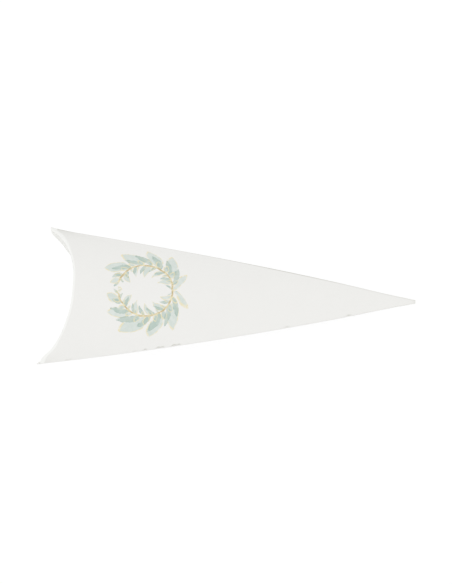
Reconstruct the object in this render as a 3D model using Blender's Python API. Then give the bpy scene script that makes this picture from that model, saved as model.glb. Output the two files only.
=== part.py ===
"""Paper favor cone, lying on its back panel.

One die-cut blank of stiff white card is folded along one long side and glued along the other, so that a front
panel and a back panel lie on each other as a long triangle. Pressed open at the wide end, both panels bow
outwards, and a curved flap on each folds in along a curved crease and holds the mouth open. The bend fades
towards the tip, where the card stays flat.

The cone is drawn in its own frame: X runs from the two ears of the mouth to the tip, Y across the panels towards
the folded side, and Z out of the front panel. A parent empty then lays it on the table, on the back panel's
crease and on the tip. Sizes are in metres.
"""

import math

import bmesh
import bpy
from mathutils import Vector

# The blank
LENGTH = 0.200                    # from the line between the ears to the tip
MOUTH_HALF_WIDTH = 0.0453         # half of a panel's width at the ears, measured along the bent card
TIP_HALF_WIDTH = 0.0011           # half of a panel's width at the blunt tip
CARD = 0.0004                     # thickness of the card

# How the card bends once the mouth is pressed open
MOUTH_BEND_ANGLE = math.radians(59.2)  # turn of the card from the middle of a panel to its edge, at the ears
BEND_FADE = 0.7                   # power with which that turn fades towards the tip
LEAST_BEND_ANGLE = 0.001          # turn left at the tip, in radians, so that the arc's radius stays finite
CREASE_SLOPE = 1.0                # how far the mouth's creases run back for each unit of their height

# Clear spaces
SEAT_GAP = 0.0003                 # between two layers of card that touch on the real cone
PANEL_GAP = 0.0006                # between the two panels, all along their edges
OPEN_GAP = 0.0001                 # between the opened front flap's edge and its panel's crease
NEST_STEP = 0.0012                # the back panel's crease lies this much further out, so that its flap closes last

# Mouth flaps
FLAP_REACH = 0.94                 # share of the crease, from the middle to an ear, on which a flap hangs
FRONT_FLAP_SHORT = SEAT_GAP       # the front flap's free edge ends this far above the back panel
BACK_FLAP_SHORT = 0.0008          # the back flap's free edge ends this far below the front panel
FRONT_FLAP_SETBACK = CARD + SEAT_GAP  # the front flap stands this far behind its crease, to let the back flap in
BACK_FLAP_LEAN = NEST_STEP        # the back flap leans in by this much, to end right under the front crease
BACK_FLAP_LAP = 0.0012            # opened, the back flap laps this far over the inside of its own panel

# Glue flap and glue
GLUE_FLAP_WIDTH = 0.0120          # at the mouth
GLUE_FLAP_TIP_WIDTH = 0.0035      # at its end near the tip
GLUE_FLAP_SETBACK = 0.0050        # from the front crease to the flap's first corner
GLUE_FLAP_SLANT = 0.0080          # its mouth end is cut at a slant, this far along the seam
GLUE_FLAP_TIP_SETBACK = 0.0320    # from the tip to the flap's end
GLUE_FILM = 0.0002                # thickness of the line of glue
GLUE_FILM_INSET = 0.0014          # from the flap's long edges to the glue
GLUE_FILM_END_INSET = 0.0040      # from the flap's ends to the glue

# Facets
FACETS_ACROSS = 13                # odd, so that one lies flat under the back panel's middle
FACETS_ALONG = 15
FLAP_ROWS = 5
STRIP_FACETS_ACROSS = 3
STRIP_FACETS_ALONG = 14
CREASE_STEPS = 40                 # rounds in which the crease's place along the cone is found

INNER_LIFT = PANEL_GAP / 2        # from the bend surface to a panel's inner face
OUTER_LIFT = INNER_LIFT + CARD    # from the bend surface to a panel's outer face

FRONT = 1.0
BACK = -1.0


def clear_scene():
    """Removes the objects that the scene starts with."""
    for leftover in list(bpy.data.objects):
        bpy.data.objects.remove(leftover, do_unlink=True)


def make_material(name, colour, roughness):
    """A plain Principled material."""
    material = bpy.data.materials.new(name)
    material.use_nodes = True
    shader = material.node_tree.nodes["Principled BSDF"]
    shader.inputs["Base Color"].default_value = (*colour, 1.0)
    shader.inputs["Roughness"].default_value = roughness
    shader.inputs["Metallic"].default_value = 0.0
    return material


def half_width(x):
    """Half of a panel's flat width at x, on a straight line from the mouth to the tip."""
    return MOUTH_HALF_WIDTH + (TIP_HALF_WIDTH - MOUTH_HALF_WIDTH) * x / LENGTH


def bend(x):
    """Turn of the card from the middle of a panel to its edge at x."""
    share = max(1.0 - x / LENGTH, 0.0)
    return MOUTH_BEND_ANGLE * share**BEND_FADE + LEAST_BEND_ANGLE


def across(x, share, lift):
    """Y and Z of a panel at x: share runs from -1 to 1 along its arc, lift is the height over the bend surface."""
    turn = bend(x)
    radius = half_width(x) / turn
    y = (radius + lift) * math.sin(share * turn)
    z = (radius + lift) * math.cos(share * turn) - radius * math.cos(turn)
    return y, z


def height(x, y, lift):
    """Z of a panel over the point x, y, and the cosine of its slope there."""
    turn = bend(x)
    radius = half_width(x) / turn
    rise = math.sqrt((radius + lift) ** 2 - y**2)
    return rise - radius * math.cos(turn), rise / (radius + lift)


def crease_point(share, side):
    """Point of a panel's outer face on its mouth crease, which runs back as the panel rises."""
    step = NEST_STEP if side == BACK else 0.0
    x = 0.0
    for _ in range(CREASE_STEPS):
        y, z = across(x, share, OUTER_LIFT)
        x = CREASE_SLOPE * z - step
    return Vector((x, y, side * z))


def crease_inward(share, side):
    """Direction level with the panels, square to the crease seen from above, pointing into the cone."""
    reach = 0.001
    along = crease_point(share + reach, side) - crease_point(share - reach, side)
    return Vector((along.y, -along.x, 0.0)).normalized()


def build_sheet(name, rows, thickness, material, origin=Vector((0.0, 0.0, 0.0))):
    """Makes a sheet from rows of points, its outer face as given, and gives it thickness inwards.

    The points of a row run towards +Y. Seen from outside, the rows follow each other to the right of that.
    """
    shape = bmesh.new()
    grid = [[shape.verts.new(point - origin) for point in row] for row in rows]
    for near, far in zip(grid, grid[1:]):
        for i in range(len(near) - 1):
            shape.faces.new((near[i], far[i], far[i + 1], near[i + 1]))
    mesh = bpy.data.meshes.new(name)
    shape.to_mesh(mesh)
    shape.free()
    mesh.shade_smooth()
    mesh.materials.append(material)
    sheet = bpy.data.objects.new(name, mesh)
    sheet.location = origin
    bpy.context.collection.objects.link(sheet)
    layer = sheet.modifiers.new("card thickness", "SOLIDIFY")
    layer.thickness = thickness
    layer.offset = -1.0
    layer.use_even_offset = True
    return sheet


def spread(count, low=-1.0, high=1.0):
    """Evenly spaced values from low to high, for count facets."""
    return [low + (high - low) * i / count for i in range(count + 1)]


def build_panel(name, side, material):
    """One of the two large bowed triangles, from its mouth crease to the tip."""
    creases = [crease_point(share, side).x for share in spread(FACETS_ACROSS)]
    rows = []
    for along in spread(FACETS_ALONG, 0.0, 1.0):
        row = []
        for share, crease_x in zip(spread(FACETS_ACROSS), creases):
            x = crease_x + (LENGTH - crease_x) * along
            y, z = across(x, share, OUTER_LIFT)
            row.append(Vector((x, y, side * z)))
        rows.append(row if side == FRONT else row[::-1])
    return build_sheet(name, rows, CARD, material)


def flap_axis(side, short):
    """Middle of the straight line about which a flap turns, close to the line through the two ears.

    A quarter turn about it lays the front flap's free edge flush with its own panel, at the panel's crease. It lays
    the back flap's free edge over the inside of its own panel, one seat gap above it. Closed, that edge's outer face
    stands at edge_x and it lies at height reach beyond the line.
    """
    crease = crease_point(0.0, side)
    if side == FRONT:
        edge_x, opened_x, sunk = crease.x + FRONT_FLAP_SETBACK, crease.x - OPEN_GAP, 0.0
    else:
        edge_x, opened_x, sunk = crease.x + BACK_FLAP_LEAN, crease.x + BACK_FLAP_LAP, CARD + SEAT_GAP
    reach = height(edge_x + CARD, 0.0, INNER_LIFT)[0] - short
    apart = side * crease.z - CARD - sunk - edge_x
    total = opened_x - reach
    return Vector(((total - apart) / 2, 0.0, side * (total + apart) / 2))


def build_closure_flap(name, side, short, material):
    """A flap that hangs on a panel's mouth crease and stands across the mouth.

    Its hinge edge lies one seat gap inside its own panel, and its free edge ends short of the other panel. The front
    flap stands a little behind its crease, and the back flap leans in front of it. The object's origin is on its
    joint's axis.
    """
    setback = FRONT_FLAP_SETBACK if side == FRONT else 0.0
    lean = BACK_FLAP_LEAN if side == BACK else 0.0
    rows = [[] for _ in range(FLAP_ROWS + 1)]
    for share in spread(FACETS_ACROSS, -FLAP_REACH, FLAP_REACH):
        inward = crease_inward(share, side)
        face = crease_point(share, side) + inward * setback
        behind = face + inward * CARD
        ceiling, slope = height(behind.x, behind.y, INNER_LIFT)
        hinge_z = side * (ceiling - SEAT_GAP / slope)
        floor, slope = height(behind.x + lean, behind.y, INNER_LIFT)
        free_z = -side * (floor - short / slope)
        for row, down in zip(rows, spread(FLAP_ROWS, 0.0, 1.0)):
            row.append(Vector((face.x + lean * down, face.y, hinge_z + (free_z - hinge_z) * down)))
    if side == BACK:
        rows.reverse()
    rows = [row[::-1] for row in rows]
    return build_sheet(name, rows, CARD, material, origin=flap_axis(side, short))


def seam_setback(x):
    """How far the glue flap starts from the panels' edge at x, where the panels leave room for its layers."""
    layers = PANEL_GAP + 2 * CARD + GLUE_FILM + 3 * SEAT_GAP
    return layers / 2 / math.tan(bend(x))


def build_seam_strip(name, thickness, lift, inset, end_inset, material):
    """A strip under the front panel along its glued edge, such as the glue flap or the glue on it."""
    rows = []
    for along in spread(STRIP_FACETS_ALONG, 0.0, 1.0):
        row = []
        for over in spread(STRIP_FACETS_ACROSS, 0.0, 1.0):
            start = crease_point(-1.0, FRONT).x + GLUE_FLAP_SETBACK + GLUE_FLAP_SLANT * over + end_inset
            width_at_start = GLUE_FLAP_WIDTH - 2 * inset
            start += CREASE_SLOPE * width_at_start * over
            end = LENGTH - GLUE_FLAP_TIP_SETBACK - end_inset
            x = start + (end - start) * along
            width = GLUE_FLAP_WIDTH + (GLUE_FLAP_TIP_WIDTH - GLUE_FLAP_WIDTH) * along - 2 * inset
            from_edge = seam_setback(x) + inset + width * over
            share = -1.0 + from_edge / half_width(x)
            y, z = across(x, share, lift)
            row.append(Vector((x, y, z)))
        rows.append(row)
    return build_sheet(name, rows, thickness, material)


def lay_on_table(parts):
    """Parents the parts to an empty that tips the cone onto its back crease and tip and centres it on the origin.

    The crease's lowest facet rests on the table, and it ends one facet's share away from the middle.
    """
    crease = crease_point(1.0 / FACETS_ACROSS, BACK)
    tip_z = -across(LENGTH, 0.0, OUTER_LIFT)[1]
    table = bpy.data.objects.new("on_table", None)
    bpy.context.collection.objects.link(table)
    table.rotation_euler = (0.0, math.atan2(tip_z - crease.z, LENGTH - crease.x), 0.0)
    for part in parts:
        part.parent = table
    bpy.context.view_layer.update()
    graph = bpy.context.evaluated_depsgraph_get()
    low = Vector((math.inf,) * 3)
    high = Vector((-math.inf,) * 3)
    for part in parts:
        shown = part.evaluated_get(graph)
        for vertex in shown.data.vertices:
            point = shown.matrix_world @ vertex.co
            low = Vector(map(min, low, point))
            high = Vector(map(max, high, point))
    table.location = (-(low.x + high.x) / 2, -(low.y + high.y) / 2, -low.z)


def main():
    clear_scene()
    white_card = make_material("white card", (0.86, 0.86, 0.83), 0.55)
    flap_card = make_material("white card, flaps", (0.84, 0.84, 0.81), 0.6)
    glue = make_material("dried glue", (0.80, 0.78, 0.70), 0.35)

    front_panel = build_panel("front_panel", FRONT, white_card)
    back_panel = build_panel("back_panel", BACK, white_card)
    front_flap = build_closure_flap("front_closure_flap", FRONT, FRONT_FLAP_SHORT, flap_card)
    back_flap = build_closure_flap("back_closure_flap", BACK, BACK_FLAP_SHORT, flap_card)

    glue_lift = INNER_LIFT - SEAT_GAP
    glue_flap_lift = glue_lift - GLUE_FILM - SEAT_GAP
    glue_flap = build_seam_strip("glue_flap", CARD, glue_flap_lift, 0.0, 0.0, flap_card)
    adhesive = build_seam_strip("seam_adhesive", GLUE_FILM, glue_lift, GLUE_FILM_INSET, GLUE_FILM_END_INSET, glue)

    lay_on_table([front_panel, back_panel, front_flap, back_flap, glue_flap, adhesive])


main()
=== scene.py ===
"""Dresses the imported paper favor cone: bowed card panels with rounded folds, mouth flaps, a glued seam and a print.

Each sheet is a grid of points in the cone's own frame: X runs from the two ears of the mouth to the tip, Y across
the panels towards the folded side, and Z out of the front panel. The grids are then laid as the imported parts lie.
"""

import logging
import math
from dataclasses import dataclass
from enum import Enum
from functools import reduce

import bpy
import numpy as np
from mathutils import Matrix, Vector


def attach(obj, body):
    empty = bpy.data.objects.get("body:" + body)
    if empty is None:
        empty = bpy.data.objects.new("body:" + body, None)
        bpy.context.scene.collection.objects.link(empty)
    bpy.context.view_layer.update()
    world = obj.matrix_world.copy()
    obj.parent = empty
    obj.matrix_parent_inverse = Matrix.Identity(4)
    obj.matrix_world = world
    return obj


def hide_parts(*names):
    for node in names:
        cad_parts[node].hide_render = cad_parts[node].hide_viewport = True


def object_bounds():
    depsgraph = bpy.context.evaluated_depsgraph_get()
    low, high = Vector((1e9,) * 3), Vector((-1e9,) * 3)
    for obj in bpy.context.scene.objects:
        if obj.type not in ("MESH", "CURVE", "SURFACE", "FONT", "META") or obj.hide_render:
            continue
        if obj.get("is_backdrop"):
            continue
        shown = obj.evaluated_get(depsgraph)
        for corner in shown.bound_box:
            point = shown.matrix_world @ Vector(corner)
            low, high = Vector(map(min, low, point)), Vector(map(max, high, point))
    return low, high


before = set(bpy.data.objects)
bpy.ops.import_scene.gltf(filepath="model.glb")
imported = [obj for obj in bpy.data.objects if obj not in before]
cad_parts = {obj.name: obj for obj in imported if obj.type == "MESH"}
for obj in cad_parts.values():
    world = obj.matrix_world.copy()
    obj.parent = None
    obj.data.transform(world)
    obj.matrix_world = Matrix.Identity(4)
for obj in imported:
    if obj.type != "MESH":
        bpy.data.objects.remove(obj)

log = logging.getLogger("favor cone")
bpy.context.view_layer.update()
SHARP_TURN = math.radians(50.0)
TINY = 1e-12

Array = np.ndarray
Arrays = tuple[Array | float, ...]
Node = bpy.types.Node
Tree = bpy.types.NodeTree
Socket = bpy.types.NodeSocket
Object = bpy.types.Object
Material = bpy.types.Material
Pair = tuple[float, float]
Triple = tuple[float, float, float]
Quad = tuple[float, float, float, float]
Table = tuple[tuple, ...]
Input = Socket | float | tuple[float, ...]


class Side(Enum):
    """The panel that a piece hangs on; the value is the sign of its height."""

    FRONT = 1.0
    BACK = -1.0

    def points(self, x: Array, y: Array, height: Array) -> Array:
        """Points from X, Y and the height over the plane between the panels."""
        return np.stack(np.broadcast_arrays(x, y, self.value * height), -1)


def smooth(value: Array, low: float = 0.0, high: float = 1.0) -> Array:
    """Smooth step: 0 below the low limit, 1 above the high one, and 3v^2 - 2v^3 of the share v between."""
    v = np.clip((value - low) / (high - low), 0.0, 1.0)
    return v * v * (3.0 - 2.0 * v)


def bell(value: Array, at: float, spread: float) -> Array:
    """Bell curve: e to the power of minus the square of the distance from its place over its spread."""
    return np.exp(-(((value - at) / spread) ** 2))


def bells(value: Array, table: Table) -> Array:
    """Sum of bell curves, given by their places, spreads and heights."""
    return sum(height * bell(value, at, spread) for at, spread, height in table)


def waves(x: Array, table: Table) -> Array:
    """Sum of sines along X, given by their heights, turns per metre and starts."""
    return sum(height * np.sin(x * turn + start) for height, turn, start in table)


@dataclass(frozen=True)
class Blank:
    """The folded card's shape once its mouth is pressed open, in metres and radians.

    The inset has the folded edge's share of it at the mouth, its length, and the share of the arc where it starts.
    """

    length: float = 0.200
    mouth_half_width: float = 0.0453
    tip_half_width: float = 0.0011
    card: float = 0.0004
    mouth_bend: float = math.radians(59.2)
    bend_fade: float = 0.7
    least_bend: float = 0.001
    nest_step: float = 0.0012
    fold_lift: float = 0.00045
    seam_lift: float = 0.00066
    waist: Table = ((0.183, 0.016, 0.00035),)
    inset: Triple = (0.3, 0.08, -0.2)
    flare: Pair = (0.0016, 0.006)
    ear_from: float = 0.8
    crease_bells: Table = (
        (-0.90, 0.075, -0.0018), (-0.60, 0.10, 0.00020), (-0.03, 0.20, -0.00045), (0.92, 0.07, -0.0016),
    )
    back_bells: Table = ((0.54, 0.12, 0.0013),)
    crease_rounds: int = 40
    blunt_x: float = 0.0010
    rest_share: float = 1.0 / 13.0
    rest_lift: float = 0.0007
    shift: Triple = (-0.0990797, 0.0, 0.0207875)

    def half_width(self, x: Array) -> Array:
        """Half of the flat panel's width at x: a straight line from mouth to tip, less a bell near the tip."""
        straight = self.mouth_half_width + (self.tip_half_width - self.mouth_half_width) * x / self.length
        return straight - bells(x, self.waist)

    def turn(self, x: Array) -> Array:
        """Turn of the card from the panel's middle to its edge at x, which fades towards the tip as a power."""
        share = np.maximum(1.0 - x / self.length, 0.0)
        return self.mouth_bend * share**self.bend_fade + self.least_bend

    def lift(self, share: Array) -> Array:
        """Height of a panel's outer face over the bend surface, more on the glued side, which has more layers."""
        return self.fold_lift + (self.seam_lift - self.fold_lift) * smooth((1.0 - share) / 2.0)

    def across(self, x: Array, share: Array, lift: Array) -> Arrays:
        """Y and height of a panel at x: an arc of radius half width over turn, its ends on the level of 0.

        Args:
            x: distance from the ears' line.
            share: place along the arc, from -1 at the glued edge to 1 at the folded edge.
            lift: height over the bend surface, square to it.

        Returns:
            Y and the height over the plane between the panels.
        """
        turn = self.turn(x)
        radius = self.half_width(x) / turn
        y = (radius + lift) * np.sin(share * turn)
        return y, (radius + lift) * np.cos(share * turn) - radius * np.cos(turn)

    def sideways(self, x: Array, share: Array) -> Array:
        """How far the folded edge moves in Y.

        Inwards it is the fold's thickness, growing along the cone and fading across the panel as smooth steps.
        Outwards the ear flares: e to the power of minus x over a length, over the last fifth of the panel.
        """
        least, grown, start = self.inset
        inwards = self.fold_lift * (least + (1.0 - least) * smooth(x / grown)) * smooth(share, start)
        amount, length = self.flare
        return amount * np.exp(-np.maximum(x, 0.0) / length) * smooth(share, self.ear_from) - inwards

    def panel(self, x: Array, share: Array) -> Arrays:
        """Y and height of a panel's outer face, with its folded edge moved."""
        y, z = self.across(x, share, self.lift(share))
        return y + self.sideways(x, share), z

    def crease_x(self, share: Array, side: Side, lift: Array) -> Array:
        """X of a mouth crease: as far from the ears' line as the panel is high there, less the nesting step."""
        step = self.nest_step if side is Side.BACK else 0.0
        x = np.zeros_like(share)
        for _ in range(self.crease_rounds):
            x = self.across(x, share, lift)[1] - step
        return x

    def cut_crease_x(self, share: Array, side: Side) -> Array:
        """X of a mouth crease as it was cut, which adds bells to the true curve and is blunt at the folded ear."""
        x = self.crease_x(share, side, self.lift(share)) + bells(share, self.crease_bells)
        if side is Side.BACK:
            x = x + bells(share, self.back_bells)
        return np.where(share > self.ear_from, np.maximum(x, self.blunt_x), x)

    def tilt(self) -> float:
        """Angle by which the cone leans when it lies on its back crease and its tip."""
        share, lift = np.array(self.rest_share), np.array(self.rest_lift)
        x = self.crease_x(share, Side.BACK, lift)
        z = self.across(x, share, lift)[1]
        tip = self.across(np.array(self.length), np.array(0.0), lift)[1]
        return math.atan2(float(z - tip), self.length - float(x))

    def lying(self) -> Matrix:
        """Matrix from the cone's own frame to the table: a turn about Y and a shift."""
        return Matrix.Translation(self.shift) @ Matrix.Rotation(self.tilt(), 4, "Y")


@dataclass(frozen=True)
class Bead:
    """The rounded fold along a mouth crease, a conic arc from the panel to the flap.

    Each ear has its side's sign, the reach there, and the shares between which the reach grows to it.
    """

    reach: float = 0.00125
    ears: tuple[Quad, ...] = ((1.0, 0.00210, 0.45, 0.80), (-1.0, 0.00195, 0.62, 0.90))
    ear_bells: Table = ((0.90, 0.08, 0.00055),)
    most_slant: float = 1.6
    drop: float = 0.00115
    ear_drop: float = 0.3
    height_share: float = 0.42
    end: float = 0.02
    roundness: float = 0.72
    front_flap_reach: float = 0.988
    back_flap_reach: float = 0.950
    front_split: float = 0.82
    back_split: float = 0.62
    split_end: float = 0.015
    slit: float = 0.03

    def flap_reach(self, side: Side) -> float:
        """Share of a crease, from the middle to an ear, on which its flap hangs."""
        return self.front_flap_reach if side is Side.FRONT else self.back_flap_reach

    def split(self, side: Side) -> float:
        """Share of the arc that belongs to a panel, the rest to its flap."""
        return self.front_split if side is Side.FRONT else self.back_split


BLANK = Blank()
BEAD = Bead()


def mesh_from_grid(name: str, outer: Array, inner: Array, attributes: dict[str, Arrays]) -> Object:
    """Makes a closed sheet from its two faces, with a rim all round.

    Point (i, j) is joined to its neighbours (i + 1, j) and (i, j + 1), and the rim joins the two grids' outlines.
    Rim faces take the second material.

    Args:
        name: name of the object.
        outer: rows by columns by 3 points of the outer face, in the cone's frame.
        inner: the same for the inner face.
        attributes: for each name two values by rows and columns; a third is 1 on the outer face and 0 inside.

    Returns:
        The object, at the origin, with its place in its mesh.
    """
    rows, columns = outer.shape[:2]
    count = rows * columns
    index = np.arange(count).reshape(rows, columns)
    outer_faces = np.stack([index[:-1, :-1], index[1:, :-1], index[1:, 1:], index[:-1, 1:]], -1).reshape(-1, 4)
    loop = np.concatenate([index[0, :-1], index[:-1, -1], index[-1, :0:-1], index[:0:-1, 0]])
    after = np.roll(loop, -1)
    rim_faces = np.stack([loop, after, after + count, loop + count], -1)
    faces = np.concatenate([outer_faces, outer_faces[:, ::-1] + count, rim_faces])
    points = np.concatenate([outer.reshape(-1, 3), inner.reshape(-1, 3)])
    place = np.array(BLANK.lying())
    points = points @ place[:3, :3].T + place[:3, 3]
    corner, down, over, under = points[index[0, 0]], points[index[1, 0]], points[index[0, 1]], points[count]
    if np.dot(np.cross(down - corner, over - corner), corner - under) < 0.0:
        faces = faces[:, ::-1]
    mesh = bpy.data.meshes.new(name)
    mesh.from_pydata(points.tolist(), [], faces.tolist())
    mesh.polygons.foreach_set("use_smooth", np.ones(len(faces), dtype=bool))
    slots = np.zeros(len(faces), dtype=np.int32)
    slots[-len(rim_faces):] = 1
    mesh.polygons.foreach_set("material_index", slots)
    mesh.update()
    mesh.set_sharp_from_angle(angle=SHARP_TURN)
    for key, (first, second) in attributes.items():
        both = np.zeros((2, *outer.shape), dtype=np.float32)
        both[..., 0], both[..., 1], both[0, ..., 2] = first, second, 1.0
        mesh.attributes.new(key, "FLOAT_VECTOR", "POINT").data.foreach_set("vector", both.ravel())
    piece = bpy.data.objects.new(name, mesh)
    bpy.context.collection.objects.link(piece)
    return piece


def card_sheet(name: str, outer: Array, inside: Triple, flat: Arrays, wear_and_painted_light: Arrays) -> Object:
    """Makes a sheet whose inner face is a card away along the grid's normals, the products of its steps.

    Args:
        name: name of the object.
        outer: rows by columns by 3 points of the outer face.
        inside: a point on the inner face's side.
        flat: place on the flat blank, in metres.
        wear_and_painted_light: share of dirt and painted shade, and closeness to a fold, which sets the burnish with
            its painted highlight.

    Returns:
        The object.
    """
    normals = np.cross(np.gradient(outer, axis=0), np.gradient(outer, axis=1))
    normals = normals / np.maximum(np.linalg.norm(normals, axis=2, keepdims=True), TINY)
    middle = tuple(n // 2 for n in outer.shape[:2])
    if np.dot(normals[middle], np.array(inside) - outer[middle]) < 0.0:
        normals = -normals
    return mesh_from_grid(name, outer, outer + normals * BLANK.card, {"flat_place": flat, "dirt_shade_and_fold_near": wear_and_painted_light})


@dataclass
class Graph:
    """Adds nodes to a tree and links them, so that a formula in nodes reads like one."""

    tree: Tree

    def node(self, kind: str, **settings: object) -> Node:
        """Adds a shader node of a kind with its settings."""
        made = self.tree.nodes.new(f"ShaderNode{kind}")
        for key, value in settings.items():
            setattr(made, key, value)
        return made

    def feed(self, socket: Socket, value: Input) -> None:
        """Links a socket to another one, or sets its value."""
        if isinstance(value, Socket):
            self.tree.links.new(value, socket)
        else:
            socket.default_value = (*value, 1.0) if socket.type == "RGBA" else value

    def fill(self, node: Node, **values: Input) -> Node:
        """Feeds a node's inputs by name, with _ for each space."""
        for name, value in values.items():
            self.feed(node.inputs[name.replace("_", " ")], value)
        return node

    def join(self, kind: str, *values: Input, **settings: object) -> Socket:
        """Adds a node, feeds its inputs in their order and gives its first output."""
        made = self.node(kind, **settings)
        for socket, value in zip(made.inputs, values):
            self.feed(socket, value)
        return made.outputs[0]

    def math(self, operation: str, *values: Input, **settings: object) -> Socket:
        """One Math node."""
        return self.join("Math", *values, operation=operation, **settings)

    def times(self, *values: Input) -> Socket:
        """The product of two or more values."""
        return reduce(lambda a, b: self.math("MULTIPLY", a, b), values)

    def scaled(self, vector: Input, scale: Triple) -> Socket:
        """A vector times another one, part by part."""
        return self.join("VectorMath", vector, scale, operation="MULTIPLY")

    def ramp(self, value: Input, low: Input, high: Input, bottom: Input = 0.0, top: Input = 1.0) -> Socket:
        """Smooth step of a value between two limits."""
        return self.join("MapRange", value, low, high, bottom, top, interpolation_type="SMOOTHSTEP")

    def mix(self, share: Input, a: Input, b: Input, blend: str = "MIX") -> Socket:
        """Mixes two colours."""
        made = self.node("Mix", data_type="RGBA", blend_type=blend)
        for name, value in (("Factor_Float", share), ("A_Color", a), ("B_Color", b)):
            self.feed(next(s for s in made.inputs if s.identifier == name), value)
        return next(s for s in made.outputs if s.identifier == "Result_Color")

    def noise(self, vector: Input, scale: float, detail: float, roughness: float, output: str = "Fac") -> Socket:
        """A noise texture, as a value or as a colour."""
        made = self.node("TexNoise")
        return self.fill(made, Vector=vector, Scale=scale, Detail=detail, Roughness=roughness).outputs[output]

    def parts(self, vector: Input) -> tuple[Socket, ...]:
        """The three parts of a vector."""
        made = self.node("SeparateXYZ")
        self.feed(made.inputs[0], vector)
        return tuple(made.outputs)

    def attribute(self, name: str) -> Socket:
        """A vector attribute of the mesh."""
        return self.node("Attribute", attribute_type="GEOMETRY", attribute_name=name).outputs["Vector"]

    def object_place(self) -> Socket:
        """Object coordinates, in metres."""
        return self.node("TexCoord").outputs["Object"]

    def group(self, group: Tree, **values: Input) -> dict[str, Socket]:
        """Places a node group, feeds its inputs by name and gives its outputs."""
        return self.fill(self.node("Group", node_tree=group), **values).outputs

    def relief(self, shader: Node, height: Socket, strength: float, depth: float) -> None:
        """Raises a shader's surface by a height."""
        made = self.fill(self.node("Bump"), Height=height, Strength=strength, Distance=depth)
        self.feed(shader.inputs["Normal"], made.outputs["Normal"])


def new_group(name: str, inputs: tuple[str, ...], outputs: tuple[str, ...]) -> tuple[Graph, dict[str, Socket], Node]:
    """Makes an empty node group.

    Args:
        name: name of the group.
        inputs: names of its inputs, of which Vector is a vector and the others are values.
        outputs: names of its outputs, which are values.

    Returns:
        A graph on the group, the sockets that give its inputs, and its output node.
    """
    tree = bpy.data.node_groups.new(name, "ShaderNodeTree")
    for in_out, sockets in (("INPUT", inputs), ("OUTPUT", outputs)):
        for key in sockets:
            kind = "Vector" if key == "Vector" else "Float"
            tree.interface.new_socket(key, in_out=in_out, socket_type=f"NodeSocket{kind}")
    return Graph(tree), tree.nodes.new("NodeGroupInput").outputs, tree.nodes.new("NodeGroupOutput")


@dataclass(frozen=True)
class CardGrain:
    """Uncoated card: a mottle, clouds, fibres and grit, each a noise by scale, detail and roughness."""

    slow: Triple = (70.0, 3.0, 0.55)
    cloudy: Triple = (420.0, 4.0, 0.6)
    stretch: Triple = (900.0, 2600.0, 1600.0)
    fibres: Triple = (1.0, 3.0, 0.65)
    grit: Triple = (5200.0, 2.0, 0.5)
    slow_share: float = 0.6
    fibre_share: float = 0.7
    specks: Quad = (0.70, 0.80, 1.0, 0.985)
    roughness: Pair = (0.16, 0.50)

    def build(self) -> Tree:
        """Makes the group that puts out tone, roughness and height."""
        graph, given, made = new_group("card grain", ("Vector", "Mottle"), ("Tone", "Roughness", "Height"))
        place = given["Vector"]
        slow, cloudy, grit = (graph.noise(place, *noise) for noise in (self.slow, self.cloudy, self.grit))
        fibres = graph.noise(graph.scaled(place, self.stretch), *self.fibres)
        mottle = graph.math("ADD", graph.times(slow, self.slow_share), graph.times(cloudy, 1.0 - self.slow_share))
        tone = graph.math("MULTIPLY_ADD", graph.math("SUBTRACT", mottle, 0.5), given["Mottle"], 1.0)
        height = graph.math("ADD", graph.times(fibres, self.fibre_share), graph.times(grit, 1.0 - self.fibre_share))
        rough = graph.math("MULTIPLY_ADD", cloudy, *self.roughness)
        graph.fill(made, Tone=graph.times(tone, graph.ramp(grit, *self.specks)), Roughness=rough, Height=height)
        return graph.tree


@dataclass(frozen=True)
class FoldWearAndHighlight:
    """Burnish with a painted highlight, and hairline cracks of a scored fold, from the closeness to the fold, which
    is 1 on it.
    """

    stretch: Triple = (700.0, 260.0, 700.0)
    streaks: Triple = (1.0, 4.0, 0.6)
    burnish_highlight_ramp: Quad = (0.25, 0.6, 0.7, 1.0)
    tight: Pair = (0.75, 0.98)
    cracks: Pair = (0.60, 0.72)

    def build(self) -> Tree:
        """Makes the group."""
        graph, given, made = new_group("fold wear", ("Vector", "Closeness"), ("Burnish", "Cracks"))
        near = given["Closeness"]
        streaks = graph.noise(graph.scaled(given["Vector"], self.stretch), *self.streaks)
        cracks = graph.times(graph.ramp(near, *self.tight), graph.ramp(streaks, *self.cracks))
        # The burnish share also paints a highlight on the fold's bead.
        graph.fill(made, Burnish=graph.times(near, graph.ramp(streaks, *self.burnish_highlight_ramp)), Cracks=cracks)
        return graph.tree


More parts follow.
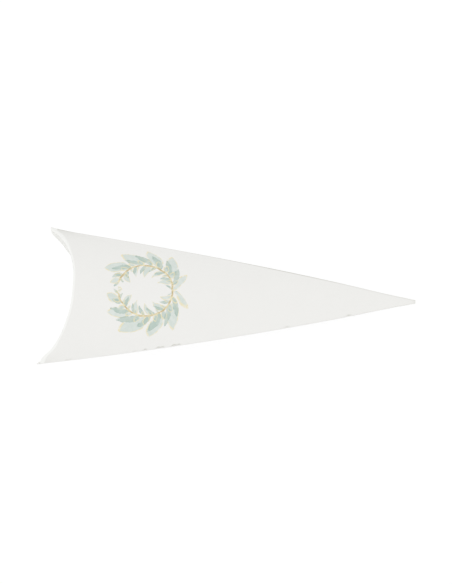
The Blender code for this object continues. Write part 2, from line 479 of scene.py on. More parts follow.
@dataclass(frozen=True)
class LeafShape:
    """Leaves on both sides of a stem: a wash inside each leaf, its outline, and a value of its own.

    The distance along the stem is sheared by the distance off it, and cut into cells of one spacing. In a cell the
    leaf is where the distance from the cell's middle is under the half width times the sine of pi times the
    distance off the stem over the leaf's length, which is first raised to a power.
    """

    stagger: float = 0.25
    size: Pair = (0.35, 0.78)
    least_length: float = 0.00005
    power: float = 0.85
    wash_edge: float = 0.8
    outline_edge: float = 0.3

    def build(self) -> Tree:
        """Makes the group."""
        names = ("Along", "Off", "Spacing", "Length", "Half Width", "Lean", "Size", "Line")
        graph, given, made = new_group("leaf garland", names, ("Wash", "Outline", "Leaf"))
        along, off, spacing, length, half_width, lean, size, line = (given[name] for name in names)
        away, side = graph.math("ABSOLUTE", off), graph.math("SIGN", off)
        shifted = graph.math("MULTIPLY_ADD", graph.times(side, spacing), self.stagger, along)
        sheared = graph.math("SUBTRACT", shifted, graph.times(away, lean))
        cell = graph.math("FLOOR", graph.math("DIVIDE", sheared, spacing))
        middle = graph.times(graph.math("ADD", cell, 0.5), spacing)
        from_middle = graph.math("ABSOLUTE", graph.math("SUBTRACT", sheared, middle))
        own = graph.join("TexWhiteNoise", graph.join("CombineXYZ", cell, side), noise_dimensions="2D")
        size = graph.times(graph.math("MULTIPLY_ADD", own, *self.size), size)
        share = graph.math("DIVIDE", away, graph.math("MAXIMUM", graph.times(length, size), self.least_length))
        bent = graph.math("POWER", graph.math("MINIMUM", share, 1.0), self.power)
        width = graph.times(graph.math("SINE", graph.times(bent, math.pi)), half_width, size)
        depth = graph.math("SUBTRACT", width, from_middle)
        wash = graph.ramp(depth, 0.0, graph.times(line, self.wash_edge))
        edge = graph.ramp(graph.math("ABSOLUTE", depth), graph.times(line, self.outline_edge), line, 1.0, 0.0)
        graph.fill(made, Wash=wash, Outline=graph.times(edge, graph.math("LESS_THAN", share, 1.0)), Leaf=own)
        return graph.tree


def new_material(name: str) -> tuple[Material, Graph, Node]:
    """A material with its graph and its Principled shader."""
    material = bpy.data.materials.new(name)
    material.use_nodes = True
    return material, Graph(material.node_tree), material.node_tree.nodes["Principled BSDF"]


@dataclass(frozen=True)
class Garland:
    """A printed ring of leaves in watercolour, on the flat card.

    A layer of leaves has its spacing, length, half width, lean, offset, light, dark and edge colours, and strength.
    """

    centre: Pair = (0.0560, 0.0004)
    radius: float = 0.0142
    wobble: float = 0.0012
    wobble_mean: float = 0.62
    wander: Triple = (260.0, 2.0, 0.5)
    flutter: Triple = (1100.0, 3.0, 0.6)
    flutter_share: float = 0.25
    uneven: float = 0.0013
    taper: Triple = (0.006, 0.009, 0.35)
    inner_leaves: Quad = (-0.0004, 0.0004, 0.62, 1.0)
    grains: Triple = (2600.0, 3.0, 0.7)
    grain_ramp: Quad = (0.25, 0.75, 0.70, 1.0)
    pools: Triple = (420.0, 4.0, 0.62)
    pool_ramp: Pair = (0.35, 0.7)
    own_tint: float = 0.6
    most_dark: float = 0.8
    line: float = 0.00042
    rim_ramp: Quad = (0.40, 0.56, 0.15, 0.85)
    stem: Quad = (0.00030, 0.00062, 1.0, 0.0)
    stem_end: Pair = (0.0035, 0.0022)
    stem_strength: float = 0.9
    bark_ramp: Pair = (0.40, 0.60)
    pale: Triple = (0.68, 0.75, 0.71)
    sage: Triple = (0.53, 0.64, 0.58)
    deep: Triple = (0.40, 0.52, 0.46)
    gold: Triple = (0.84, 0.76, 0.50)
    tan: Triple = (0.58, 0.45, 0.22)
    layers: Table = (
        (0.0079, 0.0112, 0.0030, 0.55, 0.0, pale, sage, gold, 0.75),
        (0.0055, 0.0074, 0.0017, 0.85, 0.0021, sage, deep, deep, 0.85),
        (0.0043, 0.0042, 0.0012, 0.35, 0.0009, pale, deep, gold, 0.80),
    )

    def paint(self, graph: Graph, base: Socket, leaves: Tree) -> Socket:
        """Lays the print over a colour.

        The flat place, shifted by slow noise so that no leaf is ruled, is turned into a distance along a ring,
        counted both ways from its side towards the tip, and a distance off it.

        Args:
            graph: the material's graph.
            base: the bare card's colour.
            leaves: the leaves' group.

        Returns:
            The colour with the print.
        """
        flat = graph.attribute("flat_place")
        x, y, outside = graph.parts(flat)
        wander = graph.scaled(graph.noise(flat, *self.wander, "Color"), (self.wobble,) * 3)
        flutter = graph.scaled(graph.noise(flat, *self.flutter, "Color"), (self.wobble * self.flutter_share,) * 3)
        shifts = graph.parts(graph.join("VectorMath", wander, flutter, operation="ADD"))
        x, y = (
            graph.math("SUBTRACT", graph.math("ADD", place, shift), centre + self.wobble * self.wobble_mean)
            for place, shift, centre in zip((x, y), shifts, self.centre)
        )
        away = graph.math("SQRT", graph.math("ADD", graph.times(x, x), graph.times(y, y)))
        off = graph.math("SUBTRACT", away, self.radius)
        angle = graph.math("ARCTAN2", y, x)
        turned = graph.math("SIGN", angle)
        along = graph.times(graph.math("ABSOLUTE", angle), self.radius)
        uneven = graph.math("MULTIPLY_ADD", turned, self.uneven, along)
        outwards = graph.times(off, turned)
        end = math.pi * self.radius
        grown, shrunk, least = self.taper
        size = graph.times(
            graph.ramp(along, 0.0, grown, least), graph.ramp(along, end - shrunk, end, 1.0, least),
            graph.ramp(off, *self.inner_leaves),
        )
        grains = graph.ramp(graph.noise(flat, *self.grains), *self.grain_ramp)
        pools = graph.noise(flat, *self.pools)
        colour = base
        for spacing, length, half_width, lean, offset, light, dark, edge, strength in self.layers:
            leaf = graph.group(
                leaves, Along=graph.math("ADD", uneven, offset), Off=outwards, Spacing=spacing, Length=length,
                Half_Width=half_width, Lean=lean, Size=size, Line=self.line,
            )
            own = graph.times(leaf["Leaf"], self.own_tint)
            pooled = graph.math("ADD", graph.ramp(pools, *self.pool_ramp), own, use_clamp=True)
            tint = graph.mix(graph.times(pooled, self.most_dark), light, dark)
            colour = graph.mix(graph.times(leaf["Wash"], outside, strength, grains), colour, tint)
            rim = graph.times(leaf["Outline"], outside, graph.ramp(pools, *self.rim_ramp))
            colour = graph.mix(rim, colour, edge)
        stem = graph.ramp(graph.math("ABSOLUTE", off), *self.stem)
        ended = graph.ramp(along, *(end - length for length in self.stem_end), 1.0, 0.0)
        bark = graph.mix(graph.ramp(pools, *self.bark_ramp), self.tan, self.gold)
        return graph.mix(graph.times(stem, ended, outside, self.stem_strength), colour, bark)


@dataclass(frozen=True)
class CardFinish:
    """Stiff uncoated white card."""

    name: str
    colour: Triple = (0.872, 0.868, 0.845)
    # Light colour of the folds' beads: burnish and a painted highlight.
    burnish_highlight_colour: Triple = (0.925, 0.928, 0.905)
    cracked: Triple = (0.70, 0.69, 0.66)
    # Dark colour of dirt and painted shade on the front panel's edges, at its ears and in its nicks.
    dirt_and_shade_colour: Triple = (0.62, 0.62, 0.57)
    mottle: float = 0.035
    crack_strength: float = 0.35
    polish: float = -0.08
    specular: float = 0.35
    relief: Pair = (0.16, 0.00003)

    def build(self, grain: Tree, wear_and_painted_light: Tree, leaves: Tree | None = None, garland: Garland | None = None) -> Material:
        """Makes the material: grain over the whole face, burnish with a painted highlight and cracks on the folds,
        dirt and painted shade on the edges, and the print if any.
        """
        material, graph, shader = new_material(self.name)
        place = graph.object_place()
        card = graph.group(grain, Vector=place, Mottle=self.mottle)
        dirt_and_shade, closeness, outside = graph.parts(graph.attribute("dirt_shade_and_fold_near"))
        fold = graph.group(wear_and_painted_light, Vector=place, Closeness=closeness)
        colour = graph.mix(1.0, self.colour, card["Tone"], "MULTIPLY")
        if garland is not None:
            colour = garland.paint(graph, colour, leaves)
        # Burnish with a painted highlight, on the outer face near the folds.
        shown = graph.times(fold["Burnish"], outside)
        colour = graph.mix(shown, colour, self.burnish_highlight_colour)
        colour = graph.mix(graph.times(fold["Cracks"], self.crack_strength), colour, self.cracked)
        # Dirt and painted shade along the front panel's edges.
        colour = graph.mix(graph.times(dirt_and_shade, outside), colour, self.dirt_and_shade_colour)
        smoother = graph.math("MULTIPLY_ADD", shown, self.polish, card["Roughness"])
        graph.fill(shader, Base_Color=colour, Roughness=smoother, Specular_IOR_Level=self.specular)
        graph.relief(shader, card["Height"], *self.relief)
        return material


@dataclass(frozen=True)
class CutEdgeFinish:
    """The card's core, laid bare by the cutting die: a little darker and warmer, with fibres in layers."""

    light: Triple = (0.85, 0.845, 0.81)
    dark: Triple = (0.74, 0.73, 0.69)
    stretch: Triple = (1400.0, 1400.0, 9000.0)
    fibres: Triple = (1.0, 4.0, 0.7)
    tone_ramp: Pair = (0.3, 0.7)
    roughness: Pair = (0.2, 0.65)
    specular: float = 0.25
    relief: Pair = (0.3, 0.00005)

    def build(self) -> Material:
        """Makes the material."""
        material, graph, shader = new_material("card core")
        fibres = graph.noise(graph.scaled(graph.object_place(), self.stretch), *self.fibres)
        colour = graph.mix(graph.ramp(fibres, *self.tone_ramp), self.dark, self.light)
        rough = graph.math("MULTIPLY_ADD", fibres, *self.roughness)
        graph.fill(shader, Base_Color=colour, Roughness=rough, Specular_IOR_Level=self.specular)
        graph.relief(shader, fibres, *self.relief)
        return material


@dataclass(frozen=True)
class GlueFinish:
    """Dried paper glue, dull and yellowish, glossier where it stands thick."""

    thin: Triple = (0.80, 0.78, 0.70)
    thick: Triple = (0.68, 0.61, 0.44)
    clouds: Triple = (600.0, 4.0, 0.6)
    tone_ramp: Pair = (0.35, 0.65)
    roughness: Quad = (0.3, 0.7, 0.50, 0.28)
    bubble_scale: float = 1500.0
    relief: Pair = (0.4, 0.0001)

    def build(self) -> Material:
        """Makes the material."""
        material, graph, shader = new_material("dried glue")
        place = graph.object_place()
        clouds = graph.noise(place, *self.clouds)
        bubbles = graph.fill(graph.node("TexVoronoi"), Vector=place, Scale=self.bubble_scale).outputs["Distance"]
        colour = graph.mix(graph.ramp(clouds, *self.tone_ramp), self.thin, self.thick)
        graph.fill(shader, Base_Color=colour, Roughness=graph.ramp(clouds, *self.roughness))
        graph.relief(shader, graph.math("ADD", clouds, bubbles), *self.relief)
        return material


class Finishes:
    """All the object's materials, with the node groups that they share."""

    def __init__(self) -> None:
        """Builds the groups once and then each material."""
        grain, wear_and_painted_light = CardGrain().build(), FoldWearAndHighlight().build()
        self.printed = CardFinish("printed card").build(grain, wear_and_painted_light, LeafShape().build(), Garland())
        self.plain = CardFinish("white card").build(grain, wear_and_painted_light)
        # The flaps and the glue flap get the same white card made darker: painted shade.
        self.flap = CardFinish("flap card with painted shade", colour=(0.85, 0.85, 0.82)).build(grain, wear_and_painted_light)
        self.core = CutEdgeFinish().build()
        self.glue = GlueFinish().build()


def finish_piece(piece: Object, body: str, node: str, slot: str, *materials: Material) -> None:
    """Gives a piece its materials and its body, and hides the CAD node that it stands for; the slot is not used."""
    for material in materials:
        piece.data.materials.append(material)
    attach(piece, body)
    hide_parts(node)
    log.info("%s: %d faces, rides on %s", piece.name, len(piece.data.polygons), body)


@dataclass
class CreaseLine:
    """Places along one mouth crease for each column of a sheet, and the bead's size there."""

    x: Array
    slope: Array
    ahead: Array
    below: Array

    @classmethod
    def along(cls, side: Side, share: Array) -> "CreaseLine":
        """Works out the crease.

        Seen from above the crease leaves the Y direction by the arc's slope at each share, and the bead's reach
        along X grows by one over the cosine of that. The reach itself is larger at the ears, where the card folds
        back on itself. The bead's height is held to a share of the room between the two creases.
        """
        x = BLANK.cut_crease_x(share, side)
        slope = share * BLANK.turn(x)
        reach = BEAD.reach + bells(share, BEAD.ear_bells)
        for sign, ear, start, end in BEAD.ears:
            reach = reach + (ear - BEAD.reach) * smooth(sign * share, start, end)
        ahead = reach * np.minimum(1.0 / np.cos(slope), BEAD.most_slant)
        drop = BEAD.drop * (1.0 + BEAD.ear_drop * np.abs(share))
        below = np.minimum(drop, BEAD.height_share * BLANK.panel(x, share)[1])
        return cls(x, slope, ahead, below * smooth((1.0 - np.abs(share)) / BEAD.end))


def conic(start: Array, corner: Array, end: Array, t: Array) -> Array:
    """Rational quadratic arc from start to end with its tangents through the corner, one row for each t."""
    t = t[..., None]
    weights = ((1.0 - t) ** 2, 2.0 * BEAD.roundness * t * (1.0 - t), t**2)
    return (weights[0] * start + weights[1] * corner + weights[2] * end) / sum(weights)


@dataclass
class Panels:
    """The two large bowed triangles, with the folded side edge and the glued seam.

    Ear shades, which are painted shade near the ears, have their share, place and length along the edge, width, and
    edge: 1 is folded and -1 is cut.
    """

    columns: int = 110
    crowding: float = 0.35
    rows: int = 240
    row_power: float = 1.25
    bead_rows: int = 12
    fold_columns: int = 16
    seam_columns: int = 12
    return_places: Triple = (-3.0, -2.6, -2.3)
    seam_setback: float = 0.00055
    most_setback: float = 0.4
    seam_gap: float = 0.00002
    seam_return: float = 0.0005
    most_return: float = 0.7
    raw_setback: float = 0.00035
    most_raw: float = 0.3
    raw_waves: Table = ((0.00004, 410.0, 0.0), (0.00003, 1130.0, 1.0))
    nicks: Table = (
        (0.0148, 0.0008, 0.00010), (0.0168, 0.0007, 0.00009), (0.0508, 0.0009, 0.00007), (0.0560, 0.0008, 0.00024),
        (0.0630, 0.0010, 0.00026), (0.0652, 0.0008, 0.00022), (0.0712, 0.0010, 0.00034), (0.0737, 0.0008, 0.00026),
        (0.1310, 0.0011, 0.00012), (0.1640, 0.0012, 0.00016),
    )
    lifted: Table = (
        (0.0140, 0.0014, 0.00025), (0.0500, 0.0018, 0.00030), (0.0560, 0.0011, 0.00028), (0.0640, 0.0025, 0.00038),
        (0.0717, 0.0026, 0.00042),
    )
    lifted_width: float = 0.0012
    # Dirt and painted shade along the folded edge.
    fold_dirt_and_shade: Pair = (0.45, 0.00045)
    fold_dirt_and_shade_bells: Table = ((0.128, 0.022, 0.45),)
    fold_dirt_and_shade_less: Triple = (0.150, 0.170, 0.2)
    # Painted shade near both ears.
    ear_shades: Table = (
        (0.40, 0.0075, 0.0055, 0.0020, 1), (0.27, 0.0065, 0.0150, 0.0078, 1), (0.15, 0.0020, 0.0090, 0.0045, -1),
    )
    tip_scuff: Table = ((BLANK.length, 0.0012, 0.25),)
    # Painted shade in the slits at the cut edge's nicks.
    nick_shade: Pair = (0.00017, 0.0006)
    near_bead: Pair = (0.8, 0.3)
    inside: Triple = (0.08, 0.0, 0.0)

    def raw_edge(self, x: Array) -> Array:
        """How far the front panel's cut edge stands back: slow waves, and a bell for each nick."""
        edge = self.raw_setback + waves(x, self.raw_waves) + bells(x, self.nicks)
        return np.minimum(edge, BLANK.half_width(x) * self.most_raw)

    def lifted_edge(self, x: Array, share: Array) -> Array:
        """How far the front panel's cut edge stands off the seam: a bell along the edge at each loose spot."""
        return bells(x, self.lifted) * bell((share + 1.0) * BLANK.half_width(x), 0.0, self.lifted_width)

    def seam_fold(self, x: Array) -> Arrays:
        """Setback and radius of the seam's fold, and the length of its return under the front panel.

        At that radius the fold's end touches the front panel's inner face: the lift, less half of the card and the
        gap over the turn's cosine squared, plus the setback times the turn's tangent. The end lies a foot's length
        nearer the edge than the setback, and the return runs from there past the cut edge.
        """
        turn, width = BLANK.turn(x), BLANK.half_width(x)
        setback = np.minimum(self.seam_setback, width * self.most_setback)
        radius = BLANK.seam_lift - (BLANK.card + self.seam_gap) / (2.0 * np.cos(turn) ** 2) + setback * np.tan(turn)
        foot = (BLANK.seam_lift - radius) * np.sin(2.0 * turn) + 2.0 * setback * np.sin(turn) ** 2
        back = foot - setback + self.raw_setback + self.seam_return
        return setback, radius, np.minimum(back, width * self.most_return)

    def face(self, side: Side, x: Array, place: Array) -> Arrays:
        """Outer face of a panel with the fold that belongs to it.

        The place runs from -1 at the glued edge to 1 at the folded edge. On the front panel it goes on to 2, round
        the side fold: an arc of the fold's lift about the end of the bend surface. On the back panel it goes on to
        -2, round the seam's fold, an arc towards the front panel, and on to -3, straight under that panel.

        Args:
            side: which panel.
            x: distance from the ears' line, rows by columns.
            place: place across, in the same shape.

        Returns:
            Y, height and the share of the arc, in the same shape.
        """
        width, turn = BLANK.half_width(x), BLANK.turn(x)
        seam_setback, seam_radius, seam_return = self.seam_fold(x)
        start = (self.raw_edge(x) if side is Side.FRONT else seam_setback) / width - 1.0
        share = start + (np.clip(place, -1.0, 1.0) + 1.0) * (1.0 - start) / 2.0
        lift = BLANK.lift(share)
        y, z = BLANK.across(x, share, lift)
        if side is Side.FRONT:
            beyond = np.clip(place - 1.0, 0.0, 1.0)
            angle = turn + beyond * (math.pi - 2.0 * turn)
            fold_y = width / turn * np.sin(turn) + BLANK.fold_lift * np.sin(angle)
            fold_z = BLANK.fold_lift * np.cos(angle)
            z = z + self.lifted_edge(x, share)
        else:
            beyond = np.clip(-1.0 - place, 0.0, 1.0)
            lean = -share * turn
            angle = lean + beyond * (math.pi - 2.0 * lean)
            centre_y, centre_z = BLANK.across(x, share, lift - seam_radius)
            straight = seam_return * np.clip(-2.0 - place, 0.0, 1.0)
            fold_y = centre_y - seam_radius * np.sin(angle) + straight * np.cos(lean)
            fold_z = centre_z + seam_radius * np.cos(angle) - straight * np.sin(lean)
        y, z = np.where(beyond > 0.0, fold_y, y), np.where(beyond > 0.0, fold_z, z)
        return y + BLANK.sideways(x, share), z, share

    def mouth_x(self, side: Side, place: Array) -> tuple[Array, CreaseLine]:
        """X of the mouth end of each column, and the crease on the panel's own columns.

        Past its edge a fold's columns go over from the panel's crease to the other panel's.
        """
        line = CreaseLine.along(side, np.clip(place, -1.0, 1.0))
        other = CreaseLine.along(Side(-side.value), np.array([side.value])).x[0]
        return line.x + (other - line.x) * np.clip(side.value * place - 1.0, 0.0, 1.0), line

    def outer(self, side: Side, place: Array) -> tuple[Array, Arrays, Arrays]:
        """Points of a panel's outer face: the bead's rows at the mouth, then rows on to the tip.

        Args:
            side: which panel.
            place: place across of each column.

        Returns:
            Rows by columns by 3 points, the place on the flat blank, and the dirt and painted shade with the
            closeness to a fold.
        """
        mouth, line = self.mouth_x(side, place)
        near = mouth + line.ahead
        body_x = near + (BLANK.length - near) * (np.linspace(0.0, 1.0, self.rows) ** self.row_power)[:, None]
        y, z, share = self.face(side, body_x, np.broadcast_to(place, body_x.shape))
        body = side.points(body_x, y, z)
        (corner_y,), (corner_z,), corner_share = self.face(side, mouth[None], place[None])
        end_z = corner_z - np.where(np.abs(place) > 1.0, 0.0, line.below)
        reach, split = BEAD.flap_reach(side), BEAD.split(side)
        split = split + (1.0 - split) * smooth((np.abs(place) - reach) / BEAD.split_end)
        t = split * np.linspace(1.0, 0.0, self.bead_rows, endpoint=False)[:, None]
        bead = conic(body[0], side.points(mouth, corner_y, corner_z), side.points(mouth, corner_y, end_z), t)
        points = np.concatenate([bead, body])
        x = points[..., 0]
        shares = np.concatenate([np.broadcast_to(corner_share, bead.shape[:2]), share])
        start, width = self.near_bead
        closeness = 1.0 - smooth((x - mouth - line.ahead * start) / (line.ahead * width))
        dirt_and_shade = self.dirt_and_shade_shares(x, place) * (1.0 - closeness) if side is Side.FRONT else 0.0
        return points, (x, shares * BLANK.half_width(x)), (dirt_and_shade, closeness)

    def dirt_and_shade_shares(self, x: Array, place: Array) -> Array:
        """Share of dirt and painted shade in the front panel's edges.

        It is a narrow bell along the folded edge, with a deeper and a much wider one near that edge's ear, a faint
        one at the other ear, one round the tip, and one at each nick in the cut edge. The bells at the ears and at
        the nicks are painted shade, and the one along the folded edge is partly dirt and partly painted shade.
        """
        folded = BLANK.half_width(x) * (1.0 - np.minimum(place, 1.0))
        cut = BLANK.half_width(x) * (1.0 + np.maximum(place, -1.0))
        amount, width = self.fold_dirt_and_shade
        low, high, less = self.fold_dirt_and_shade_less
        along = amount + bells(x, self.fold_dirt_and_shade_bells) - less * smooth(x, low, high)
        share = along * bell(folded, 0.0, width)
        for amount, at, length, width, edge in self.ear_shades:
            share = share + amount * bell(x, at, length) * bell(folded if edge > 0 else cut, 0.0, width)
        depth, width = self.nick_shade
        share = share + bells(x, self.tip_scuff) + bells(x, self.nicks) / depth * bell(cut, 0.0, width)
        return np.minimum(share, 1.0)

    def sheet(self, side: Side, name: str) -> Object:
        """Makes one panel with the fold on its edge; its columns are closer together towards its edges."""
        even = np.linspace(-1.0, 1.0, self.columns)
        place = np.sin(even * math.pi / 2.0) * self.crowding + even * (1.0 - self.crowding)
        if side is Side.FRONT:
            place = np.concatenate([place, 1.0 + np.linspace(0.0, 1.0, self.fold_columns + 1)[1:]])
        else:
            fold = -1.0 - np.linspace(1.0, 0.0, self.seam_columns + 1)[:-1]
            place = np.concatenate([self.return_places, fold, place])
        points, flat, wear_and_painted_light = self.outer(side, place)
        return card_sheet(name, points, self.inside, flat, wear_and_painted_light)

    def build(self, finishes: Finishes) -> None:
        """Makes both panels and dresses them."""
        front, back = self.sheet(Side.FRONT, "front_panel_sheet"), self.sheet(Side.BACK, "back_panel_sheet")
        finish_piece(front, "sleeve", "front_panel", "printed_card", finishes.printed, finishes.core)
        finish_piece(back, "sleeve", "back_panel", "white_card", finishes.plain, finishes.core)


@dataclass
class Seam:
    """The glue flap that goes on from the back panel under the front panel, and the glue between them."""

    columns: int = 26
    column_power: float = 1.4
    rows: int = 110
    width: float = 0.0120
    tip_width: float = 0.0035
    setback: float = 0.0050
    slant: float = 0.0080
    tip_setback: float = 0.0320
    join: float = 0.0012
    burnish_highlight_band: Pair = (0.0008, 0.6)
    inside: Triple = (0.1, -0.01, -0.02)
    glue_columns: int = 40
    glue_rows: int = 260
    glue_setback: float = 0.004
    film: float = 0.00010
    film_gap: float = 0.00001
    film_share: float = 0.9
    film_inset: float = 0.0014
    waves: Table = ((0.5, 520.0, 0.0), (0.35, 1370.0, 0.7), (0.15, 2900.0, 2.1))
    squeeze: float = 0.0007
    even_squeeze: float = 0.4
    near_wave: float = 0.0004
    drop: Pair = (0.00008, 0.00016)
    drop_start: float = 0.0002
    drop_end: float = 0.04
    fold_end: float = Panels.raw_setback + Panels.seam_return

    def strip(self, over: Array, along: Array, inset: float, end_inset: float) -> Arrays:
        """X and distance from the fold of a strip's points: straight ends, the mouth end cut at a slant."""
        crease = float(CreaseLine.along(Side.FRONT, np.array([-1.0])).x[0])
        start = crease + self.setback + (self.slant + self.width - 2.0 * inset) * over + end_inset
        end = BLANK.length - self.tip_setback - end_inset
        x = start + (end - start) * along
        width = self.width + (self.tip_width - self.width) * along - 2.0 * inset
        return x, inset + width * over

    def under_front(self, x: Array, distance: Array, below: Array | float) -> Array:
        """Points under the front panel's inner face, at a distance from the seam's fold and a depth below it."""
        share = -1.0 + (distance + self.fold_end) / BLANK.half_width(x)
        return Side.FRONT.points(x, *BLANK.across(x, share, BLANK.lift(share) - BLANK.card - below))

    def flap(self) -> Object:
        """Makes the glue flap, whose first column meets the end of the back panel's fold."""
        over = np.linspace(0.0, 1.0, self.columns) ** self.column_power
        over, along = np.meshgrid(over, np.linspace(0.0, 1.0, self.rows))
        x, distance = self.strip(over, along, 0.0, 0.0)
        points = self.under_front(x, distance, self.film + 2.0 * self.film_gap)
        fold_y, fold_z, _ = Panels().face(Side.BACK, x, np.full_like(x, -3.0))
        join = (1.0 - smooth(distance / self.join)) * (over == 0.0)
        points = points + (Side.BACK.points(x, fold_y, fold_z) - points) * join[..., None]
        spread, amount = self.burnish_highlight_band
        wear_and_painted_light = 0.0, bell(distance, 0.0, spread) * amount
        return card_sheet("glue_flap_sheet", points, self.inside, (x, -BLANK.half_width(x) - distance), wear_and_painted_light)

    def glue(self) -> Object:
        """Makes the glue: a thin film with a wavy border, and drops squeezed out past the flap's long edge."""
        over, along = np.meshgrid(np.linspace(0.0, 1.0, self.glue_columns), np.linspace(0.0, 1.0, self.glue_rows))
        x, distance = self.strip(over, along, self.film_inset, self.glue_setback)
        wave = waves(x, self.waves)
        squeezed = self.squeeze * (self.even_squeeze + (1.0 - self.even_squeeze) * wave)
        distance = distance + (self.film_inset + squeezed) * over**3 + self.near_wave * wave * (1.0 - over) ** 3
        past = distance - self.width - (self.tip_width - self.width) * along
        least, more = self.drop
        drop = smooth(past / self.drop_start + 0.5) * (least + more * np.maximum(wave, 0.0))
        drop = drop * np.sqrt(np.clip((1.0 - over) / self.drop_end, 0.0, 1.0))
        top = self.under_front(x, distance, self.film_gap)
        bottom = self.under_front(x, distance, self.film_gap + self.film * self.film_share + drop)
        return mesh_from_grid("seam_glue", top, bottom, {})

    def build(self, finishes: Finishes) -> None:
        """Makes the glue flap and the glue and dresses them."""
        finish_piece(self.flap(), "sleeve", "glue_flap", "flap_card", finishes.flap, finishes.core)
        finish_piece(self.glue(), "sleeve", "seam_adhesive", "dried_glue", finishes.glue, finishes.glue)


@dataclass
class MouthFlaps:
    """The two curved flaps that close the mouth, the front one inside and the back one over it.

    The forward lean has its amount, the share about which it is even, and the limits between which it grows.
    """

    columns: int = 110
    rows: int = 44
    bead_rows: int = 6
    air: float = 0.00005
    lean_room: float = 0.0007
    step_height: float = 0.0012
    forward: Quad = (0.0005, -0.05, 0.35, 0.63)
    flat_height: float = 0.04
    burnish_highlight_height: float = 0.03
    burnish_highlight_band: float = 0.0011
    inside: Triple = (0.12, 0.0, 0.0)

    def outer(self, side: Side) -> Arrays:
        """Points of a flap's outer face: the rest of the bead, then straight across the mouth.

        Each column is a straight line from the bead to the free edge. The front flap, which closes first, steps in
        under its bead by a card and a little air, leans back where the cut crease runs ahead of the plain one, and
        ends at the back panel's inner face. Towards the ears it leans forward a little, to be close to its panel's
        bead once it is open. The back flap leans in until its free edge stands right under the front flap's bead.

        Args:
            side: which flap.

        Returns:
            Rows by columns by 3 points, and the share of the height for each row and column.
        """
        share = np.linspace(-1.0, 1.0, self.columns) * BEAD.flap_reach(side)
        line = CreaseLine.along(side, share)
        near = line.x + line.ahead
        y, z = BLANK.panel(line.x, share)
        top = z - line.below
        t = np.linspace(BEAD.split(side) + BEAD.slit, 1.0, self.bead_rows, endpoint=False)[:, None]
        start = side.points(near, *BLANK.panel(near, share))
        bead = conic(start, side.points(line.x, y, z), side.points(line.x, y, top), t)
        down = np.linspace(0.0, 1.0, self.rows)[:, None]
        if side is Side.FRONT:
            lift = BLANK.lift(share)
            step = self.lean_room / np.cos(line.slope)
            lean = np.maximum(BLANK.crease_x(share, side, lift) - line.x, 0.0)
            behind = line.x + lean + step + BLANK.card
            turn = BLANK.turn(behind)
            radius = BLANK.half_width(behind) / turn
            inner = np.sqrt(np.maximum((radius + lift - BLANK.card) ** 2 - y**2, 0.0))
            free = self.air - inner + radius * np.cos(turn)
            amount, about, low, high = self.forward
            lean = lean - amount * smooth(np.abs(share - about), low, high)
        else:
            other = CreaseLine.along(Side.FRONT, share)
            other_y, other_z = BLANK.panel(other.x, share)
            free = self.air - np.interp(y, other_y, other_z - other.below)
            step, lean = 0.0, np.interp(y, other_y, other.x) - line.x
        height = top + (np.minimum(free, 0.0) - top) * down
        x = line.x + step * smooth((top - height) / self.step_height) + lean * down
        share_down = np.concatenate([np.zeros(bead.shape[:2]), np.broadcast_to(down, x.shape)])
        return np.concatenate([bead, side.points(x, y, height)]), share_down

    def sheet(self, side: Side, name: str) -> Object:
        """Makes one flap."""
        points, down = self.outer(side)
        wear_and_painted_light = 0.0, bell(down * self.burnish_highlight_height, 0.0, self.burnish_highlight_band)
        return card_sheet(name, points, self.inside, (-down * self.flat_height, points[..., 1]), wear_and_painted_light)

    def build(self, finishes: Finishes) -> None:
        """Makes both flaps and dresses them."""
        for side, word in ((Side.FRONT, "front"), (Side.BACK, "back")):
            flap = self.sheet(side, f"{word}_flap_sheet")
            finish_piece(flap, f"{word}_flap", f"{word}_closure_flap", "flap_card", finishes.flap, finishes.core)


@dataclass(frozen=True)
class CameraFit:
    """The photograph's viewpoint, in the cone's own frame: three turns about the cone's middle, and a shift."""

    middle: float = 0.100
    turns: Triple = (0.2861, -0.0115, -0.0188)
    eye: Triple = (-0.0017306, 0.0034407, 0.500)
    focal_pixels: float = 928.3
    frame_pixels: float = 584.0
    sensor: float = 36.0
    clip: Pair = (0.01, 20.0)

    def build(self) -> None:
        """Makes the scene's camera."""
        tip, swing, roll = self.turns
        view = Matrix.Rotation(roll, 4, "Z") @ Matrix.Rotation(swing, 4, "Y") @ Matrix.Rotation(-tip, 4, "X")
        data = bpy.data.cameras.new("camera")
        data.sensor_width = self.sensor
        data.lens = self.sensor * self.focal_pixels / self.frame_pixels
        data.clip_start, data.clip_end = self.clip
        camera = bpy.data.objects.new("camera", data)
        place = BLANK.lying() @ Matrix.Translation((self.middle, 0.0, 0.0)) @ view.inverted()
        camera.matrix_world = place @ Matrix.Translation(self.eye)
        bpy.context.collection.objects.link(camera)
        bpy.context.scene.camera = camera


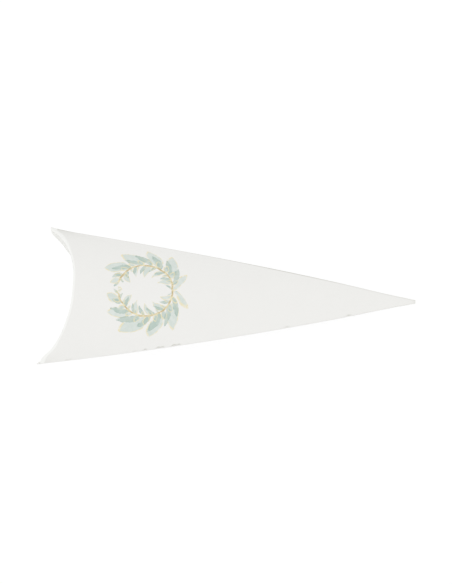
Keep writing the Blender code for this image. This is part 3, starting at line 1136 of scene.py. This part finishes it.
@dataclass
class Studio:
    """A white floor under soft light from all round, a little more from the mouth's side."""

    floor_half: float = 3.0
    floor_shown: float = 0.90
    floor_shade: float = 0.13
    floor_colour: float = 0.95
    sky: float = 0.955
    key_power: float = 1.0
    key_place: Triple = (-0.75, -0.45, 0.95)
    key_size: float = 1.1

    def seen_rays(self, graph: Graph) -> Socket:
        """1 for camera, glossy and transmission rays, which see the plain white background."""
        rays = graph.node("LightPath").outputs
        seen = graph.math("MAXIMUM", rays["Is Camera Ray"], rays["Is Glossy Ray"])
        return graph.math("MAXIMUM", seen, rays["Is Transmission Ray"])

    def floor(self) -> None:
        """Makes the floor just under the cone: white to the camera, with a share of its real shade in it."""
        low = min(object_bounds()[0].z, 0.0)
        mesh = bpy.data.meshes.new("floor")
        corners = [(x * self.floor_half, y * self.floor_half, low) for x, y in ((-1, -1), (1, -1), (1, 1), (-1, 1))]
        mesh.from_pydata(corners, [], [(0, 1, 2, 3)])
        material, graph, shader = new_material("white floor")
        material.node_tree.nodes.remove(shader)
        seen = self.seen_rays(graph)
        diffuse = graph.join("BsdfDiffuse", graph.mix(seen, (self.floor_colour,) * 3, (self.floor_shade,) * 3))
        glow = graph.fill(graph.node("Emission"), Strength=graph.times(seen, self.floor_shown)).outputs[0]
        graph.fill(material.node_tree.nodes["Material Output"], Surface=graph.join("AddShader", diffuse, glow))
        floor = bpy.data.objects.new("floor", mesh)
        floor.data.materials.append(material)
        bpy.context.collection.objects.link(floor)
        floor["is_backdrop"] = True

    def world(self) -> None:
        """Makes the even light from all round, seen as white."""
        world = bpy.data.worlds.new("studio")
        world.use_nodes = True
        graph = Graph(world.node_tree)
        strength = graph.math("MULTIPLY_ADD", self.seen_rays(graph), 1.0 - self.sky, self.sky)
        graph.fill(world.node_tree.nodes["Background"], Color=(1.0, 1.0, 1.0), Strength=strength)
        bpy.context.scene.world = world

    def key(self) -> None:
        """Makes the large soft lamp on the mouth's side."""
        lamp = bpy.data.lights.new("soft box", "AREA")
        lamp.shape = "DISK"
        lamp.size = self.key_size
        lamp.energy = self.key_power
        soft_box = bpy.data.objects.new("soft box", lamp)
        soft_box.location = self.key_place
        soft_box.rotation_euler = (-Vector(self.key_place)).to_track_quat("-Z", "Y").to_euler()
        bpy.context.collection.objects.link(soft_box)

    def build(self) -> None:
        """Makes the floor, the world and the lamp."""
        bpy.context.scene.view_settings.view_transform = "Standard"
        self.floor()
        self.world()
        self.key()


def main() -> None:
    """Builds the cone's sheets, the studio and the camera."""
    logging.basicConfig(level=logging.INFO, format="%(name)s: %(message)s")
    finishes = Finishes()
    for assembly in (Panels(), Seam(), MouthFlaps()):
        assembly.build(finishes)
    Studio().build()
    CameraFit().build()


if __name__ == "__main__":
    main()
